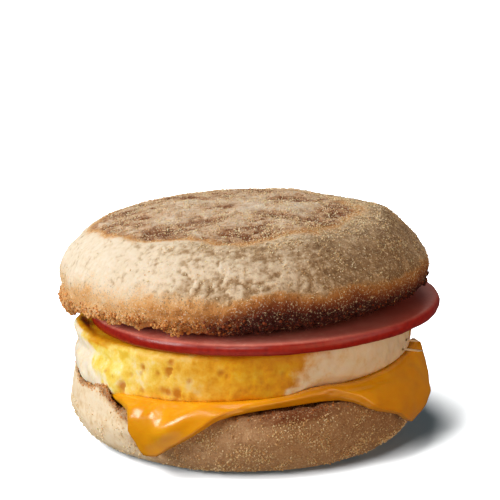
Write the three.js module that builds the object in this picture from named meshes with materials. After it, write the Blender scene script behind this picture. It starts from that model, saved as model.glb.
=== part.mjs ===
// A breakfast sandwich: a split English muffin round a slice of back bacon, a ring-cooked egg
// and a square slice of melted cheese. Millimetres, +Z up, the origin under the middle of the base.
// Angles round the stack are in degrees from +X (the right) towards +Y (the back), so 270 is the front.
import * as THREE from "three";
import { mergeVertices } from "three/addons/utils/BufferGeometryUtils.js";
import { ImprovedNoise } from "three/addons/math/ImprovedNoise.js";

// The lower half of the muffin.
const FOOT_RADIUS = 34; // the flat spot that it stands on
const HEEL_RADIUS = 45.2; // its widest, half way up the side
const HEEL_BELLY = 10.5; // height of that widest ring
const HEEL_HEIGHT = 16.8; // the cut face, above the middle of the base
const HEEL_FACE_RADIUS = 41.5; // where the cut face turns over into the side
const RIM_RADIUS = 43.5; // the crest of the rim round that face
const LIP_RISE = 5.2; // how far the torn rim stands up beside the egg, on the left
const LIP_LEAN = 0.75; // how far it leans in against the egg there

// The stack leans: everything from the lower cut face up is higher on the right.
const FACE_TILT = 4.0; // degrees, of the lower cut face, the cheese and the underside of the egg
const STACK_TILT = 2.3; // degrees, of the bacon and the crown
const GAP = 0.3; // left between pieces that touch

// The cheese.
const SLICE_SIDE = 80;
const SLICE_THICKNESS = 2.3;
const SLICE_PRESSED = 1.9; // its thickness under the egg
const SLICE_CENTRE = new THREE.Vector2(1.2, -1.2);
const SLICE_TURN = 15; // degrees, so that one corner hangs at the front left and one at the right
const SLICE_SQUARENESS = 30; // exponent of its outline, which sets how round the corners are
const DRAPE_CLEAR = 0.7; // between the cheese and the side of the muffin that it hangs down
const SLUMP = 0.15; // the share by which the corner at the right is pulled up short, into a bulge

// The egg.
const EGG_RADIUS = 42.2;
const EGG_THICKNESS = 11.7;
const EGG_CENTRE_X = 0.2;

// The bacon.
const HAM_RADIUS = 44.4;
const HAM_THICKNESS = 3.5;
const HAM_CENTRE = new THREE.Vector2(4.8, -1.6);

// The upper half of the muffin.
const CROWN_RADIUS = 46.9;
const CROWN_HEIGHT = 23.2;
const CROWN_CENTRE_X = 0.2;
const CROWN_LEVELLING = 0.5; // degrees by which its top lies flatter than its cut face
const CRAG = 1.5; // depth of the torn, toasted crumb at its lip

const SEGMENTS = { heel: 88, cheese: 84, egg: 68, ham: 60, crown: 96 };

const COLOURS = {
  heel: 0xb98f63,
  cheese: 0xe8961c,
  egg: 0xf2c84b,
  ham: 0x9c3a2a,
  crown: 0xdcc29c,
};

const noise = new ImprovedNoise();
const { smoothstep, lerp, degToRad, radToDeg, euclideanModulo } = THREE.MathUtils;
const slope = (degrees) => Math.tan(degToRad(degrees));
const bearing = (point) => radToDeg(Math.atan2(point.y, point.x));
const turnBetween = (angle, middle) => euclideanModulo(angle - middle + 180, 360) - 180;

// Smooth lumps of about the given size, between -1 and 1.
function lumps(point, size, seed) {
  return 1.4 * noise.noise(point.x / size + seed, point.y / size - seed, point.z / size + 0.5 * seed);
}

// 1 over a stretch of angles, fading to 0 at its two ends.
function sector(angle, from, to, fade) {
  const half = (to - from) / 2;
  return 1 - smoothstep(Math.abs(turnBetween(angle, from + half)), half - fade, half);
}

// A smooth bump, 1 at an angle and nearly gone at twice the given width from it.
function bump(angle, middle, width) {
  return Math.exp(-((turnBetween(angle, middle) / width) ** 2));
}

// Moves a point away from the Z axis.
function pushOut(point, distance) {
  const radius = Math.hypot(point.x, point.y);
  if (radius < 1e-6) return;
  point.x *= 1 + distance / radius;
  point.y *= 1 + distance / radius;
}

// A closed body turned round the Z axis, and then shaped by moving each of its vertices by a rule.
// Each stretch of its outline is a curve and a number of steps, and the stretches run from the
// middle of the underside to the middle of the top. Each four-sided face is then cut in two along
// its shorter diagonal.
function turned(stretches, segments, rule) {
  const outline = [stretches[0][0].getPoint(0)];
  for (const [curve, steps] of stretches) outline.push(...curve.getPoints(steps).slice(1));
  const lathe = new THREE.LatheGeometry(outline, segments).rotateX(Math.PI / 2);
  lathe.deleteAttribute("normal");
  lathe.deleteAttribute("uv");
  const body = mergeVertices(lathe, 1e-5);
  const position = body.getAttribute("position");
  const point = new THREE.Vector3();
  for (let i = 0; i < position.count; i += 1) {
    rule(point.fromBufferAttribute(position, i));
    position.setXYZ(i, point.x, point.y, point.z);
  }
  const place = (i) => new THREE.Vector3().fromBufferAttribute(position, i);
  const faces = [];
  for (let i = 0; i < body.index.count; i += 6) {
    const [a, b, d, c] = body.index.array.slice(i, i + 4);
    const split = place(a).distanceTo(place(c)) < place(b).distanceTo(place(d));
    const halves = split ? [[a, b, c], [a, c, d]] : [[a, b, d], [c, d, b]];
    for (const half of halves) if (new Set(half).size === 3) faces.push(...half);
  }
  body.setIndex(faces);
  body.computeVertexNormals();
  return body;
}

const at = (radius, height) => new THREE.Vector2(radius, height);
const line = (from, to) => new THREE.LineCurve(from, to);
const through = (...points) => new THREE.SplineCurve(points);

function piece(name, geometry, roughness) {
  const color = COLOURS[name.split("_").pop()];
  const mesh = new THREE.Mesh(geometry, new THREE.MeshStandardMaterial({ color, roughness, metalness: 0 }));
  mesh.name = name;
  return mesh;
}

// The muffin is a little slimmer at the right, where the cheese hangs steeply.
function slimming(angle) {
  return 1.1 * bump(angle, -14, 26);
}

// The side of the lower half, from its foot up to the rim, and over the rim to the cut face.
const heelSide = [at(FOOT_RADIUS, 0), at(39.3, 1.4), at(43.2, 5.0), at(HEEL_RADIUS, HEEL_BELLY), at(44.9, 13.4)];
const heelRim = [at(44.9, 13.4), at(44.7, 14.7), at(44.2, 15.8), at(RIM_RADIUS, 16.4)];
const heelShelf = at(43.0, 16.6);
const heelFace = at(HEEL_FACE_RADIUS, HEEL_HEIGHT);

// The lower half stands level, and its cut face leans. Its rim is torn at the left and at the front.
function muffinHeel() {
  const stretches = [
    [line(at(0, 0), heelSide[0]), 1],
    [through(...heelSide), 9],
    [through(...heelRim), 3],
    [line(heelRim[3], heelShelf), 1],
    [line(heelShelf, heelFace), 1],
    [line(heelFace, at(0, HEEL_HEIGHT)), 3],
  ];
  return turned(stretches, SEGMENTS.heel, (point) => {
    const radius = Math.hypot(point.x, point.y);
    const angle = bearing(point);
    const level = point.z / HEEL_HEIGHT;
    const side = smoothstep(point.z, 0, 3) * smoothstep(radius, FOOT_RADIUS, FOOT_RADIUS + 4);
    const rim = smoothstep(point.z, 13.4, 16.3) * smoothstep(radius, heelShelf.x, RIM_RADIUS);
    const lip = rim * sector(angle, 171, 226, 9);
    const torn = rim * Math.max(sector(angle, 171, 226, 12), sector(angle, 263, 305, 10));
    pushOut(point, side * (0.3 * lumps(point, 9, 1) + 0.15 * lumps(point, 4, 2) - slimming(angle) * level));
    pushOut(point, torn * 0.35 * (1 + lumps(point, 2.6, 3)) - lip * LIP_LEAN);
    point.z += slope(FACE_TILT) * point.x * level;
    point.z += lip * LIP_RISE * (1 + 0.35 * Math.cos(degToRad(10 * (angle - 180))) - 0.3 * bump(angle, 212, 7));
    point.z -= torn * 0.5 * Math.abs(lumps(point, 2.2, 4));
    if (radius < 38) point.z -= level * 0.3 * Math.abs(lumps(point, 5, 5));
  });
}

// The way that the underside of the cheese takes: along the cut face, over its edge and down the side.
const drapeStart = at(HEEL_FACE_RADIUS - 5.5, HEEL_HEIGHT + GAP);
const drapeWay = through(
  drapeStart,
  at(HEEL_FACE_RADIUS - 2, HEEL_HEIGHT + GAP),
  at(HEEL_FACE_RADIUS + 1.6, HEEL_HEIGHT + GAP),
  at(44.8 + DRAPE_CLEAR, 15.2),
  at(HEEL_RADIUS + DRAPE_CLEAR + 0.1, HEEL_BELLY + 0.8),
  at(44.9 + DRAPE_CLEAR, 7.2),
  at(43.1 + DRAPE_CLEAR, 3.4),
);

// How far the edge of the flat slice is from the axis at an angle: a square with rounded corners.
function sliceReach(angle) {
  const turn = -degToRad(SLICE_TURN);
  const axis = new THREE.Vector2();
  const way = new THREE.Vector2(Math.cos(degToRad(angle)), Math.sin(degToRad(angle))).rotateAround(axis, turn);
  const centre = SLICE_CENTRE.clone().rotateAround(axis, turn);
  const toWall = (part, off) => (SLICE_SIDE / 2 + Math.sign(part) * off) / Math.max(Math.abs(part), 1e-3);
  const walls = [toWall(way.x, centre.x), toWall(way.y, centre.y)];
  return (walls[0] ** -SLICE_SQUARENESS + walls[1] ** -SLICE_SQUARENESS) ** (-1 / SLICE_SQUARENESS);
}

// How far the hanging cheese stands off the muffin: soft pleats, a bulge at the right, and a wide
// shoulder above it.
function standOff(angle, over) {
  const pleats = 0.25 + 0.25 * Math.cos(degToRad(18 * (angle - 240)));
  const bulge = 2.1 * bump(angle, -18, 17) * smoothstep(over, 10, 14) * (1 - smoothstep(over, 14, 19));
  const shoulder = 0.8 * bump(angle, 5, 17) * smoothstep(over, 7, 9.5) * (1 - smoothstep(over, 10, 15));
  return smoothstep(over, 7, 15) * pleats + bulge + shoulder;
}

// The slice is thinner under the egg, and it swells a little in front of it.
function thickness(angle, over) {
  const swelling = 1.2 * bump(angle, -65, 9) * smoothstep(over, 3.2, 5);
  return lerp(SLICE_PRESSED, SLICE_THICKNESS, smoothstep(over, 6, 9)) + swelling;
}

// The slice starts as a disc, whose radius here is the share of the way out to the slice's edge and
// whose height is the share of its thickness. Each vertex then goes where that spot of the slice lies.
function cheeseSlice() {
  const pressed = 0.62;
  const stretches = [
    [line(at(0, 0), at(pressed, 0)), 2],
    [line(at(pressed, 0), at(1, 0)), 8],
    [line(at(1, 0), at(1, 1)), 2],
    [line(at(1, 1), at(pressed, 1)), 8],
    [line(at(pressed, 1), at(0, 1)), 2],
  ];
  return turned(stretches, SEGMENTS.cheese, (point) => {
    const share = Math.hypot(point.x, point.y);
    const angle = bearing(point);
    const inside = Math.min(1, share / pressed) * drapeStart.x;
    const hanging = Math.max(0, share - pressed) / (1 - pressed);
    const edge = 0.5 * Math.sin(Math.PI * point.z) * smoothstep(share, 0.98, 1);
    const tuckedIn = 3.6 * bump(angle, 165, 12);
    const reach = inside + hanging * (sliceReach(angle) - tuckedIn - drapeStart.x) + edge;
    const slump = 1 - (SLUMP * bump(angle, -30, 14) + 0.06 * bump(angle, 240, 6)) * smoothstep(reach, 44, 50);
    const longer = 1.6 * bump(angle, -51, 8) * smoothstep(reach, 40, 43);
    const over = Math.max(0, (reach - drapeStart.x) * slump + longer);
    const part = Math.min(1, over / drapeWay.getLength());
    const way = drapeWay.getPointAt(part);
    const along = drapeWay.getTangentAt(part);
    if (over === 0) way.x = reach;
    const off = standOff(angle, over) + point.z * thickness(angle, over);
    const radius = way.x - along.y * off - slimming(angle) * smoothstep(over, 4, 10);
    // A hanging corner keeps its own width, where a skirt would be gathered in.
    const fromCorner = turnBetween(angle, Math.round((angle - SLICE_TURN - 45) / 90) * 90 + SLICE_TURN + 45);
    const spare = (reach / Math.max(radius, 1) - 1) * (1 - smoothstep(Math.abs(fromCorner), 24, 45));
    const drawnIn = (12.4 - 7.8 * smoothstep(over, 5, 14)) * bump(angle, 225, 11.5);
    const tip = -1.6 * bump(angle, 245, 9) * smoothstep(over, 7, 15);
    const spread = degToRad(angle + (fromCorner * spare + drawnIn + tip) * smoothstep(over, 0, 5));
    point.set(radius * Math.cos(spread), radius * Math.sin(spread), way.y + along.x * off);
    point.z += slope(FACE_TILT) * point.x * Math.min(1, way.y / HEEL_HEIGHT);
    // At the right it rises beside the egg, with a brim along the egg's wall, before it turns down.
    const rise = 2.0 * bump(angle, -3, 15) * smoothstep(over, 6.6, 9) * (1 - smoothstep(over, 10.5, 16));
    const brim = 1.8 * bump(angle, -8, 12) * smoothstep(over, 6.2, 7.4) * (1 - smoothstep(over, 7.6, 10));
    point.z += rise + brim;
  });
}

// The egg fills the wedge between the leaning cheese and the bacon.
function eggRound() {
  const base = HEEL_HEIGHT + SLICE_PRESSED + 2 * GAP;
  const foot = at(39.8, 0);
  const brow = at(40.6, EGG_THICKNESS);
  const stretches = [
    [line(at(0, 0), foot), 2],
    [through(foot, at(41.6, 0.5), at(EGG_RADIUS, 3.2), at(EGG_RADIUS, 8.6), at(41.9, 10.9), brow), 9],
    [line(brow, at(0, EGG_THICKNESS)), 2],
  ];
  return turned(stretches, SEGMENTS.egg, (point) => {
    const level = point.z / EGG_THICKNESS;
    const angle = bearing(point);
    const side = smoothstep(level, 0, 0.2) * (1 - smoothstep(level, 0.85, 1));
    const radius = Math.hypot(point.x, point.y);
    const edge = (1 - smoothstep(level, 0.05, 0.5)) * smoothstep(radius, 39, 41.5);
    const flare = (0.9 * smoothstep(level, 0, 0.2) + 1.9 * smoothstep(level, 0.6, 1)) * smoothstep(radius, 36, 40);
    pushOut(point, side * (0.45 * lumps(point, 11, 6) + 0.3 * lumps(point, 4, 7) - 0.2));
    pushOut(point, flare * bump(angle, 188, 26));
    point.z += edge * (1.2 * bump(angle, -58, 10) + 2.2 * bump(angle, -66, 7) + 0.8 * sector(angle, -75, 30, 20));
    point.x += EGG_CENTRE_X;
    point.z += base + point.x * lerp(slope(FACE_TILT), slope(STACK_TILT), level);
  });
}

// The bacon is a round slice with a soft edge, and not quite a circle.
function hamSlice() {
  const inner = HAM_RADIUS - 1.3;
  const edge = new THREE.EllipseCurve(inner, HAM_THICKNESS / 2, 1.3, HAM_THICKNESS / 2, -Math.PI / 2, Math.PI / 2);
  const stretches = [
    [line(at(0, 0), at(inner, 0)), 2],
    [edge, 5],
    [line(at(inner, HAM_THICKNESS), at(0, HAM_THICKNESS)), 2],
  ];
  return turned(stretches, SEGMENTS.ham, (point) => {
    const angle = Math.atan2(point.y, point.x);
    const scale = 1 + 0.008 * Math.cos(2 * angle + 0.4) + 0.005 * Math.cos(3 * angle - 1);
    point.set(point.x * scale + HAM_CENTRE.x, point.y * scale + HAM_CENTRE.y, point.z);
  });
}

// The upper half lies on the bacon on the ring inside its torn, toasted lip.
function muffinCrown() {
  const ring = at(37.6, 0.3);
  const lipTop = at(46.5, 6.2);
  const shoulder = at(36.4, 20.7);
  const stretches = [
    [line(at(0, 1.2), at(33, 0.9)), 2],
    [through(at(33, 0.9), ring, at(41.6, 1.3), at(44.8, 2.2), at(46.3, 4.0), lipTop), 8],
    [through(lipTop, at(CROWN_RADIUS, 8.4), at(46.1, 11.6), at(43.4, 15.4), at(40.4, 18.3), shoulder), 7],
    [through(shoulder, at(26, 22.3), at(12, 23.0), at(0, CROWN_HEIGHT)), 6],
  ];
  return turned(stretches, SEGMENTS.crown, (point) => {
    const radius = Math.hypot(point.x, point.y);
    const angle = bearing(point);
    const level = point.z / CROWN_HEIGHT;
    const low = 1 - smoothstep(point.z, 2, 7);
    const lip = low * smoothstep(radius, 40, 44);
    const side = smoothstep(point.z, 3, 8) * smoothstep(radius, 30, 40);
    const top = smoothstep(level, 0.88, 1);
    pushOut(point, side * (0.5 * lumps(point, 13, 8) + 0.3 * lumps(point, 5, 9)));
    pushOut(point, lip * CRAG * (0.55 * lumps(point, 3.2, 10) + 0.25 * lumps(point, 7, 11)));
    pushOut(point, lip * 0.8 * sector(angle, 165, 212, 15));
    pushOut(point, -1.0 * smoothstep(point.x, 12, 44) * smoothstep(level, 0.4, 0.8) * (1 - top));
    const crumbs = Math.max(0, 0.9 * lumps(point, 2.9, 12) + 0.4 * lumps(point, 6, 13));
    const notches = 0.7 * bump(angle, 239, 4) - 1.2 * bump(angle, 246, 2.4);
    const hanging = 3.4 * sector(angle, 150, 202, 12) + 1.5 * bump(angle, 211, 9);
    const raised = 1.2 + 0.5 * sector(angle, 290, 380, 20) - hanging;
    point.z += lip * (raised - 1.3 * (crumbs - notches));
    point.z += top * (0.45 * lumps(point, 15, 14) + 0.25 * lumps(point, 6, 15));
    point.z -= 1.0 * Math.exp(-(((point.x - 18) ** 2 + (point.y + 6) ** 2) / 36)) * top;
    point.z -= 0.6 * smoothstep(-point.x, 14, 30) * smoothstep(level, 0.6, 0.9);
    point.z -= 0.8 * smoothstep(point.x, 12, 24) * smoothstep(level, 0.6, 0.9);
    point.z += 1.7 * Math.exp(-(((point.x - 37) / 5) ** 2)) * smoothstep(level, 0.6, 0.9);
    point.z -= slope(CROWN_LEVELLING) * point.x * level;
    point.x += CROWN_CENTRE_X;
  });
}

const sandwich = new THREE.Group();
sandwich.add(piece("muffin_heel", muffinHeel(), 0.9));
sandwich.add(piece("melted_cheese", cheeseSlice(), 0.35));
sandwich.add(piece("ring_egg", eggRound(), 0.5));

// The bacon and the crown share a leaning frame of their own, whose floor is the top of the egg.
const leaning = new THREE.Group();
leaning.position.z = HEEL_HEIGHT + SLICE_PRESSED + EGG_THICKNESS + 3 * GAP;
leaning.rotation.y = -degToRad(STACK_TILT);
sandwich.add(leaning);

leaning.add(piece("round_ham", hamSlice(), 0.4));
const crown = piece("muffin_crown", muffinCrown(), 0.9);
crown.position.z = HAM_THICKNESS + GAP;
leaning.add(crown);

export default sandwich;
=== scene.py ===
# %% [markdown]
# # Dressing a breakfast sandwich
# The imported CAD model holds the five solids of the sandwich: the two halves of the muffin, the
# cheese, the egg and the bacon. They have the right size and the main shapes, but they are plain.
# This lesson takes a copy of each one, gives it the finer shape of the real food, and then a finish.

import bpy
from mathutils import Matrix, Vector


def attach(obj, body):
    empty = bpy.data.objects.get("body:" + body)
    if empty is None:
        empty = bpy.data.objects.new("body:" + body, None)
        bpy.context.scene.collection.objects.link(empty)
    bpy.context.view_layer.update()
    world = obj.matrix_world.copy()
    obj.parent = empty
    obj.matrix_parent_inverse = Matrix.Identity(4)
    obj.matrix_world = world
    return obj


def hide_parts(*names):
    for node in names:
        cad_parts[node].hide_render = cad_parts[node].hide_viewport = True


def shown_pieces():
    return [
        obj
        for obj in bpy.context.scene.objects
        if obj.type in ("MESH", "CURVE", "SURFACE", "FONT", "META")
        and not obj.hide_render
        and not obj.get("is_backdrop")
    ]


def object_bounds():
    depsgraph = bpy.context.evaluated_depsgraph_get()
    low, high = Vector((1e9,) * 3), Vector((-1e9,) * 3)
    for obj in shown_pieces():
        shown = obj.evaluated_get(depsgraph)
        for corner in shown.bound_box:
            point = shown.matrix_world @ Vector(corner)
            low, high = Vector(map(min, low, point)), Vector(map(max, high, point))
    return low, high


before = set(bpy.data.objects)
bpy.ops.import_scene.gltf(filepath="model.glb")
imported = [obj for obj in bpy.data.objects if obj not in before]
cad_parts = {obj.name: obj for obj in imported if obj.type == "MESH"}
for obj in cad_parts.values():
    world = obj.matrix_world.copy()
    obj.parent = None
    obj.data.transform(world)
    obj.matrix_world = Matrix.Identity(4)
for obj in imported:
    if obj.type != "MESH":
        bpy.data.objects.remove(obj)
cad_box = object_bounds()
print("CAD nodes:", ", ".join(sorted(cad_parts)))

# %% Modules and units
import math

import bpy
import numpy as np
from mathutils import Matrix, Vector, kdtree, noise

MM = 0.001  # Blender works in metres, and food is measured in millimetres

# %% [markdown]
# ## The camera
# The photograph was taken from the front, a little above the stack, from about half a metre. The
# camera could be placed by eye, but the width of the muffin, 95 mm, gives the scale, and the ellipse
# of its top gives the height of the camera, so its place can be worked out.

# %% Camera
PICTURE = 500  # pixels, each way
FOCAL = 1746.0  # pixels
TARGET = Vector((0, 0, 29 * MM))  # the middle of the stack
TARGET_PIXEL = (246, 317.5)
ELEVATION = math.radians(15)
DISTANCE = 450 * MM

aim_up = math.atan((TARGET_PIXEL[1] - PICTURE / 2) / FOCAL)
aim_right = math.atan((PICTURE / 2 - TARGET_PIXEL[0]) / FOCAL)
bpy.ops.object.camera_add(
    location=TARGET + DISTANCE * Vector((0, -math.cos(ELEVATION), math.sin(ELEVATION))),
    rotation=(math.radians(90) - ELEVATION + aim_up, 0, -aim_right),
)
camera = bpy.context.object
camera.name = "camera"
camera.data.sensor_width = 36
camera.data.lens = FOCAL * camera.data.sensor_width / PICTURE
camera.data.clip_start = 10 * MM
camera.data.clip_end = 20
bpy.context.scene.camera = camera
print(f"camera: {camera.data.lens:.1f} mm lens, {camera.location.length / MM:.0f} mm away")

# %% [markdown]
# ## Helpers for shaping
# Food is uneven everywhere, at many scales. The shapes could be sculpted by hand with brushes. Here
# the same is done by rules: each vertex is moved a little outwards or inwards, by an amount that
# depends on where it is. Smooth noise gives the lumps, and a ramp says where a rule applies.


# %% Selecting and modifying
def select_only(piece):
    """Makes one object the only selected and the active one."""
    bpy.ops.object.select_all(action="DESELECT")
    piece.select_set(True)
    bpy.context.view_layer.objects.active = piece


def modify(piece, kind, **settings):
    """Adds a modifier, sets it up and applies it."""
    select_only(piece)
    modifier = piece.modifiers.new(kind.title(), kind)
    for name, value in settings.items():
        setattr(modifier, name, value)
    bpy.ops.object.modifier_apply(modifier=modifier.name)


def merged_copy(node, name):
    """A copy of a CAD node as one connected mesh, because the node's own mesh is loose triangles."""
    piece = bpy.data.objects.new(name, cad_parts[node].data.copy())
    bpy.context.scene.collection.objects.link(piece)
    select_only(piece)
    bpy.ops.mesh.customdata_custom_splitnormals_clear()
    bpy.ops.object.mode_set(mode="EDIT")
    bpy.ops.mesh.select_all(action="SELECT")
    bpy.ops.mesh.remove_doubles(threshold=0.001 * MM)
    bpy.ops.object.mode_set(mode="OBJECT")
    return piece


# %% Reading and moving vertices
def read(piece, what="co"):
    """The places, or with "normal" the outward directions, of a piece's vertices, one row each."""
    numbers = np.empty(3 * len(piece.data.vertices), np.float32)
    piece.data.vertices.foreach_get(what, numbers)
    return numbers.reshape(-1, 3).astype(float)


def move_to(piece, places):
    """Moves each vertex of a piece to a place of its own, in metres."""
    piece.data.vertices.foreach_set("co", places.astype(np.float32).ravel())
    piece.data.update()


def push(piece, distance):
    """Moves each vertex outwards by its own distance in millimetres."""
    move_to(piece, read(piece) + distance[:, None] * MM * read(piece, "normal"))


def keep(piece, name, values):
    """Stores a number for each vertex, which a material can read as an attribute."""
    attribute = piece.data.attributes.new(name, "FLOAT", "POINT")
    attribute.data.foreach_set("value", np.clip(values, -1, 1).astype(np.float32))


# %% Ramps and noise
def ramp(value, start, end):
    """0 up to start, 1 from end on, and smooth in between. The start may be the larger of the two."""
    share = np.clip((value - start) / (end - start), 0, 1)
    return share * share * (3 - 2 * share)


def near(angle, middle, width):
    """1 at an angle in degrees, falling smoothly to nearly 0 at twice the width from it."""
    turn = (angle - middle + 180) % 360 - 180
    return np.exp(-((turn / width) ** 2))


def lumps(spots, size, seed, layers=1):
    """Smooth noise, mostly between -1 and 1. The size in millimetres is one number, or one per axis."""
    scaled = spots / np.asarray(size, float) + 17.3 * seed
    return np.array([1.3 * noise.fractal(spot, 0.8, 2.0, layers) for spot in scaled.tolist()])


def polar(spots):
    """The distance from the Z axis, the angle from +X in degrees, and the height."""
    angle = np.degrees(np.arctan2(spots[:, 1], spots[:, 0])) % 360
    return np.hypot(spots[:, 0], spots[:, 1]), angle, spots[:, 2]


# %% [markdown]
# The crown and the bacon lie in a frame that leans 2.3 degrees, because the egg is a wedge. Rules
# that speak of the height within the crown are easier to write in that leaning frame.

# %% The leaning frame
STACK_TILT = math.radians(2.3)
BACON_FLOOR = 31.3  # mm, where the underside of the bacon crosses the Z axis
CROWN_FLOOR = 3.8  # mm, above the bacon's underside
TO_LEANING = np.array(Matrix.Rotation(STACK_TILT, 3, "Y"))


def leaning(places, floor):
    """Places in metres, as millimetres in the leaning frame whose floor is at a height on the axis."""
    return (places / MM - np.array([0, 0, floor])) @ TO_LEANING.T


# %% [markdown]
# ## Helpers for finishes
# Each material is a small network of nodes. Colours are picked as they look on a screen, so one
# function turns them into the linear values that the renderer works with, and one adds a node.


# %% Colours and nodes
def linear(code):
    """An sRGB hex colour as linear red, green, blue and alpha."""
    shares = [int(code[i : i + 2], 16) / 255 for i in (1, 3, 5)]
    return [s / 12.92 if s <= 0.04045 else ((s + 0.055) / 1.055) ** 2.4 for s in shares] + [1]


def add(tree, kind, feeds, stops=(), out=0, **settings):
    """Adds a node. A feed is an input and its value, colour code or source; stops are for a ramp."""
    made = tree.nodes.new("ShaderNode" + kind)
    for name, value in settings.items():
        setattr(made, name, value)
    for name, value in feeds.items():
        if isinstance(value, bpy.types.NodeSocket):
            tree.links.new(value, made.inputs[name])
        else:
            made.inputs[name].default_value = linear(value) if isinstance(value, str) else value
    for i, (place, colour) in enumerate(stops):
        elements = made.color_ramp.elements
        stop = elements[i] if i < 2 else elements.new(place)
        stop.position = place
        stop.color = linear(colour)
    return made.outputs[out]


def new_finish(name, **sockets):
    """A new material, its node tree, its shader with constants on its own sockets, and its places."""
    material = bpy.data.materials.new(name)
    material.use_nodes = True
    tree = material.node_tree
    shader = tree.nodes["Principled BSDF"]
    for socket, value in sockets.items():
        shader.inputs[socket.replace("_", " ")].default_value = value
    place = tree.nodes.new("ShaderNodeTexCoord").outputs["Object"]
    return material, tree, shader, place


def dress(piece, material, slot, *nodes):
    """Gives a finished piece its material and its body, and hides the CAD nodes that it stands for.

    The slot is not used.
    """
    piece.data.materials.clear()
    piece.data.materials.append(material)
    select_only(piece)
    bpy.ops.object.shade_smooth()
    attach(piece, "root")
    if nodes:
        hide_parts(*nodes)
    size = np.ptp(read(piece), axis=0) / MM
    triangles = sum(len(p.vertices) - 2 for p in piece.data.polygons)
    print(f"{piece.name}: {triangles} triangles, {size[0]:.1f} x {size[1]:.1f} x {size[2]:.1f} mm")


# %% [markdown]
# ## The crown's bread
# The upper half of an English muffin has a flat top that was browned on a griddle, a pale, puffed
# side whose skin is finely wrinkled, and a torn lower edge that went dark in the toaster. It could
# be drawn with bump alone, but the wrinkles and the torn edge show in the outline, so they are real
# shape. A voxel remesh gives small even faces all over, fine enough to move one by one.

# %% Crown mesh
BREAD_VOXEL = 0.52 * MM

crown = merged_copy("muffin_crown", "crown_bread")
modify(crown, "REMESH", mode="VOXEL", voxel_size=BREAD_VOXEL)
modify(crown, "SMOOTH", factor=0.5, iterations=5)
print("crown mesh:", len(crown.data.vertices), "vertices")

# %% [markdown]
# The zones of the crown: each is a number from 0 to 1 for each vertex. The griddled top ends in a
# wavy line about 32 mm from its middle, and on the right it fades out. The toasted zone is the lower
# half of the side. On the left it is only golden, and from the front to the right it goes dark brown
# at the lip, most of all in two stretches right of the front. The cut face is underneath, full of
# holes. Angles are in degrees from +X, so 180 is the left and 270 the front.

# %% Crown zones
spots = leaning(read(crown), BACON_FLOOR + CROWN_FLOOR)
radius, angle, height = polar(spots)
wander = lumps(spots, 9, 1, 3)

GRIDDLED_LEFT = 2.5  # mm, how far the griddled top's middle lies to the left
to_right = np.maximum(ramp(angle, 285, 320), ramp(angle, 70, 30))
top_radius = np.hypot(spots[:, 0] + GRIDDLED_LEFT, spots[:, 1])
spread_out = 3.6 * near(angle, 182, 32) + 1.5 * near(angle, 268, 22)
griddle_radius = top_radius + 1.8 * wander - spread_out
crown_griddled = ramp(height, 16, 19.5) * ramp(griddle_radius, 35, 28 - 2 * to_right)
hot = np.maximum(ramp(angle + 6 * wander, 257, 275), ramp(angle, 60, 10))
peak = 0.32 + 0.16 * ramp(angle, 225, 256) + 0.52 * hot
darkest = near(angle, 279, 9) + 0.5 * near(angle, 303, 10)
toast_height = height + (1.8 - hot) * wander - 1.2 * darkest
toast_power = 0.7 - 0.1 * hot - 0.25 * darkest
crown_toasted = peak * ramp(toast_height, 14.5 - 3.25 * hot, 5.5 - 3 * hot) ** toast_power
# Towards the right: a rougher crust with more grains, and painted shade in its colour.
rough_shaded_side = np.maximum(ramp(angle + 6 * wander, 214, 330), ramp(angle, 70, 30))
crown_side = ramp(height, 4, 8) * ramp(radius, 30, 39) * (1 - crown_griddled)
crown_lip = ramp(height, 8, 3) * ramp(radius, 38, 43)
crown_cut = ramp(height, 3, 1.6) * ramp(radius, 42, 39)

# %% [markdown]
# Wrinkled skin has round folds with sharp creases between them. Smooth noise is zero along winding
# lines, so its size without its sign, or 1 less a narrow bell of it, has creases there. Noise that
# is long in the upright direction makes upright folds.
# On the griddled top the dough stuck and sank in places, so it has hollows with rough floors.

# %% Crown shape
DIMPLES = [  # on the griddled top: x and y, radius, and depth, in millimetres
    (16.5, -12, 4.2, 1.2),
    (23, -7, 3.0, 0.8),
    (8, -8, 4.5, 0.7),
    (-9, -13, 5.0, 0.6),
    (-18, -20, 5.0, 0.6),
    (-4, -27, 3.5, 0.3),
    (26, 8, 4.0, 0.4),
    (12, 12, 5.0, 0.5),
    (-12, 16, 6.0, 0.5),
]
crags = lumps(spots, 2.2, 6, 3)
wrinkled = 0.04 + 0.8 * near(angle, 266, 22) * ramp(height, 21, 16)
warped = spots + 1.2 * np.column_stack([crags, wander, 0.5 * crags])
folds = (1 - np.exp(-((lumps(warped, (5, 5, 9), 2, 2) / 0.2) ** 2))) * wrinkled
fine_folds = np.abs(lumps(spots, (1.5, 1.5, 3), 3, 2)) * (0.04 + 0.96 * wrinkled)
seams = -np.exp(-((lumps(spots, 8, 4, 2) / 0.09) ** 2))
nooks = np.minimum(0, lumps(spots, 3.6, 5, 2) - 0.1)
grain = lumps(spots, 0.95, 7, 2)

ragged = lumps(spots, (3.2, 3.2, 8), 10, 2)
hollow = np.zeros(len(spots))
for x, y, across, depth in DIMPLES:
    away = np.hypot(spots[:, 0] - x, 1.3 * (spots[:, 1] - y)) + 1.6 * wander + 0.8 * crags
    hollow += depth * np.exp(-(np.maximum(0, away) / across) ** 2)
shape = 0.3 * lumps(spots, 13, 8) + 0.05 * grain
shape += crown_side * (0.65 * folds + 0.25 * fine_folds + 0.12 * rough_shaded_side * crags)
shape += crown_griddled * (0.3 * seams + 0.16 * lumps(spots, 4, 9, 2) + 0.12 * crags - hollow)
shape += crown_lip * (0.6 * crags + 0.16 * grain + 0.9 * ragged * ramp(height, 5, 2))
shape -= crown_lip * 1.1 * near(angle, 237.5, 3) * ramp(height, 5, 2)  # a notch in the torn edge
shape += crown_cut * 1.6 * nooks
push(crown, shape)

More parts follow.
